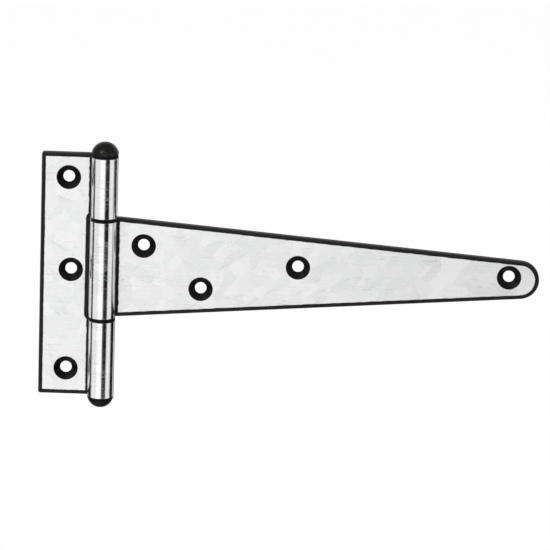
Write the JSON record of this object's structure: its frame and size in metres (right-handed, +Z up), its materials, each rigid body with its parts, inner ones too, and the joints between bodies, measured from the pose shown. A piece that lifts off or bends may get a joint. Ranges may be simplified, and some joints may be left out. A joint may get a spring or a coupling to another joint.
{
  "type": "t hinge",
  "caption": "Tee hinge: rectangular jamb leaf with upper and lower knuckles, long tapered strap leaf with a middle knuckle, and a riveted pin; leaves countersunk for screws.",
  "frame": {"origin": "on the mounting plane that the backs of both leaves lie in, straight behind the pin's axis, level with the strap's centre line", "axes": "+X along the strap towards its tip, +Y out of the back of the leaves into the post and gate, +Z up along the pin towards its round head; the hinge is drawn open flat, as on a closed gate"},
  "size_m": [0.1801, 0.0096, 0.0988],
  "materials": {
    "zinc_plated_steel": "pale zinc coating with faint crystals over rolled sheet, satin, with dark sheared edges, borders and countersinks",
    "pin_steel": "dark oiled steel, satin, with hammer marks on the riveted end"
  },
  "bodies": {
    "jamb": {"jamb_leaf": "zinc_plated_steel", "hinge_pin": "pin_steel"},
    "strap": {"strap_leaf": "zinc_plated_steel"}
  },
  "joints": [
    {"name": "leaf_hinge", "type": "hinge", "parent": "jamb", "child": "strap", "pos_m": [0, -0.0048, 0], "axis": [0, 0, -1], "range_deg": [-90, 180]}
  ]
}
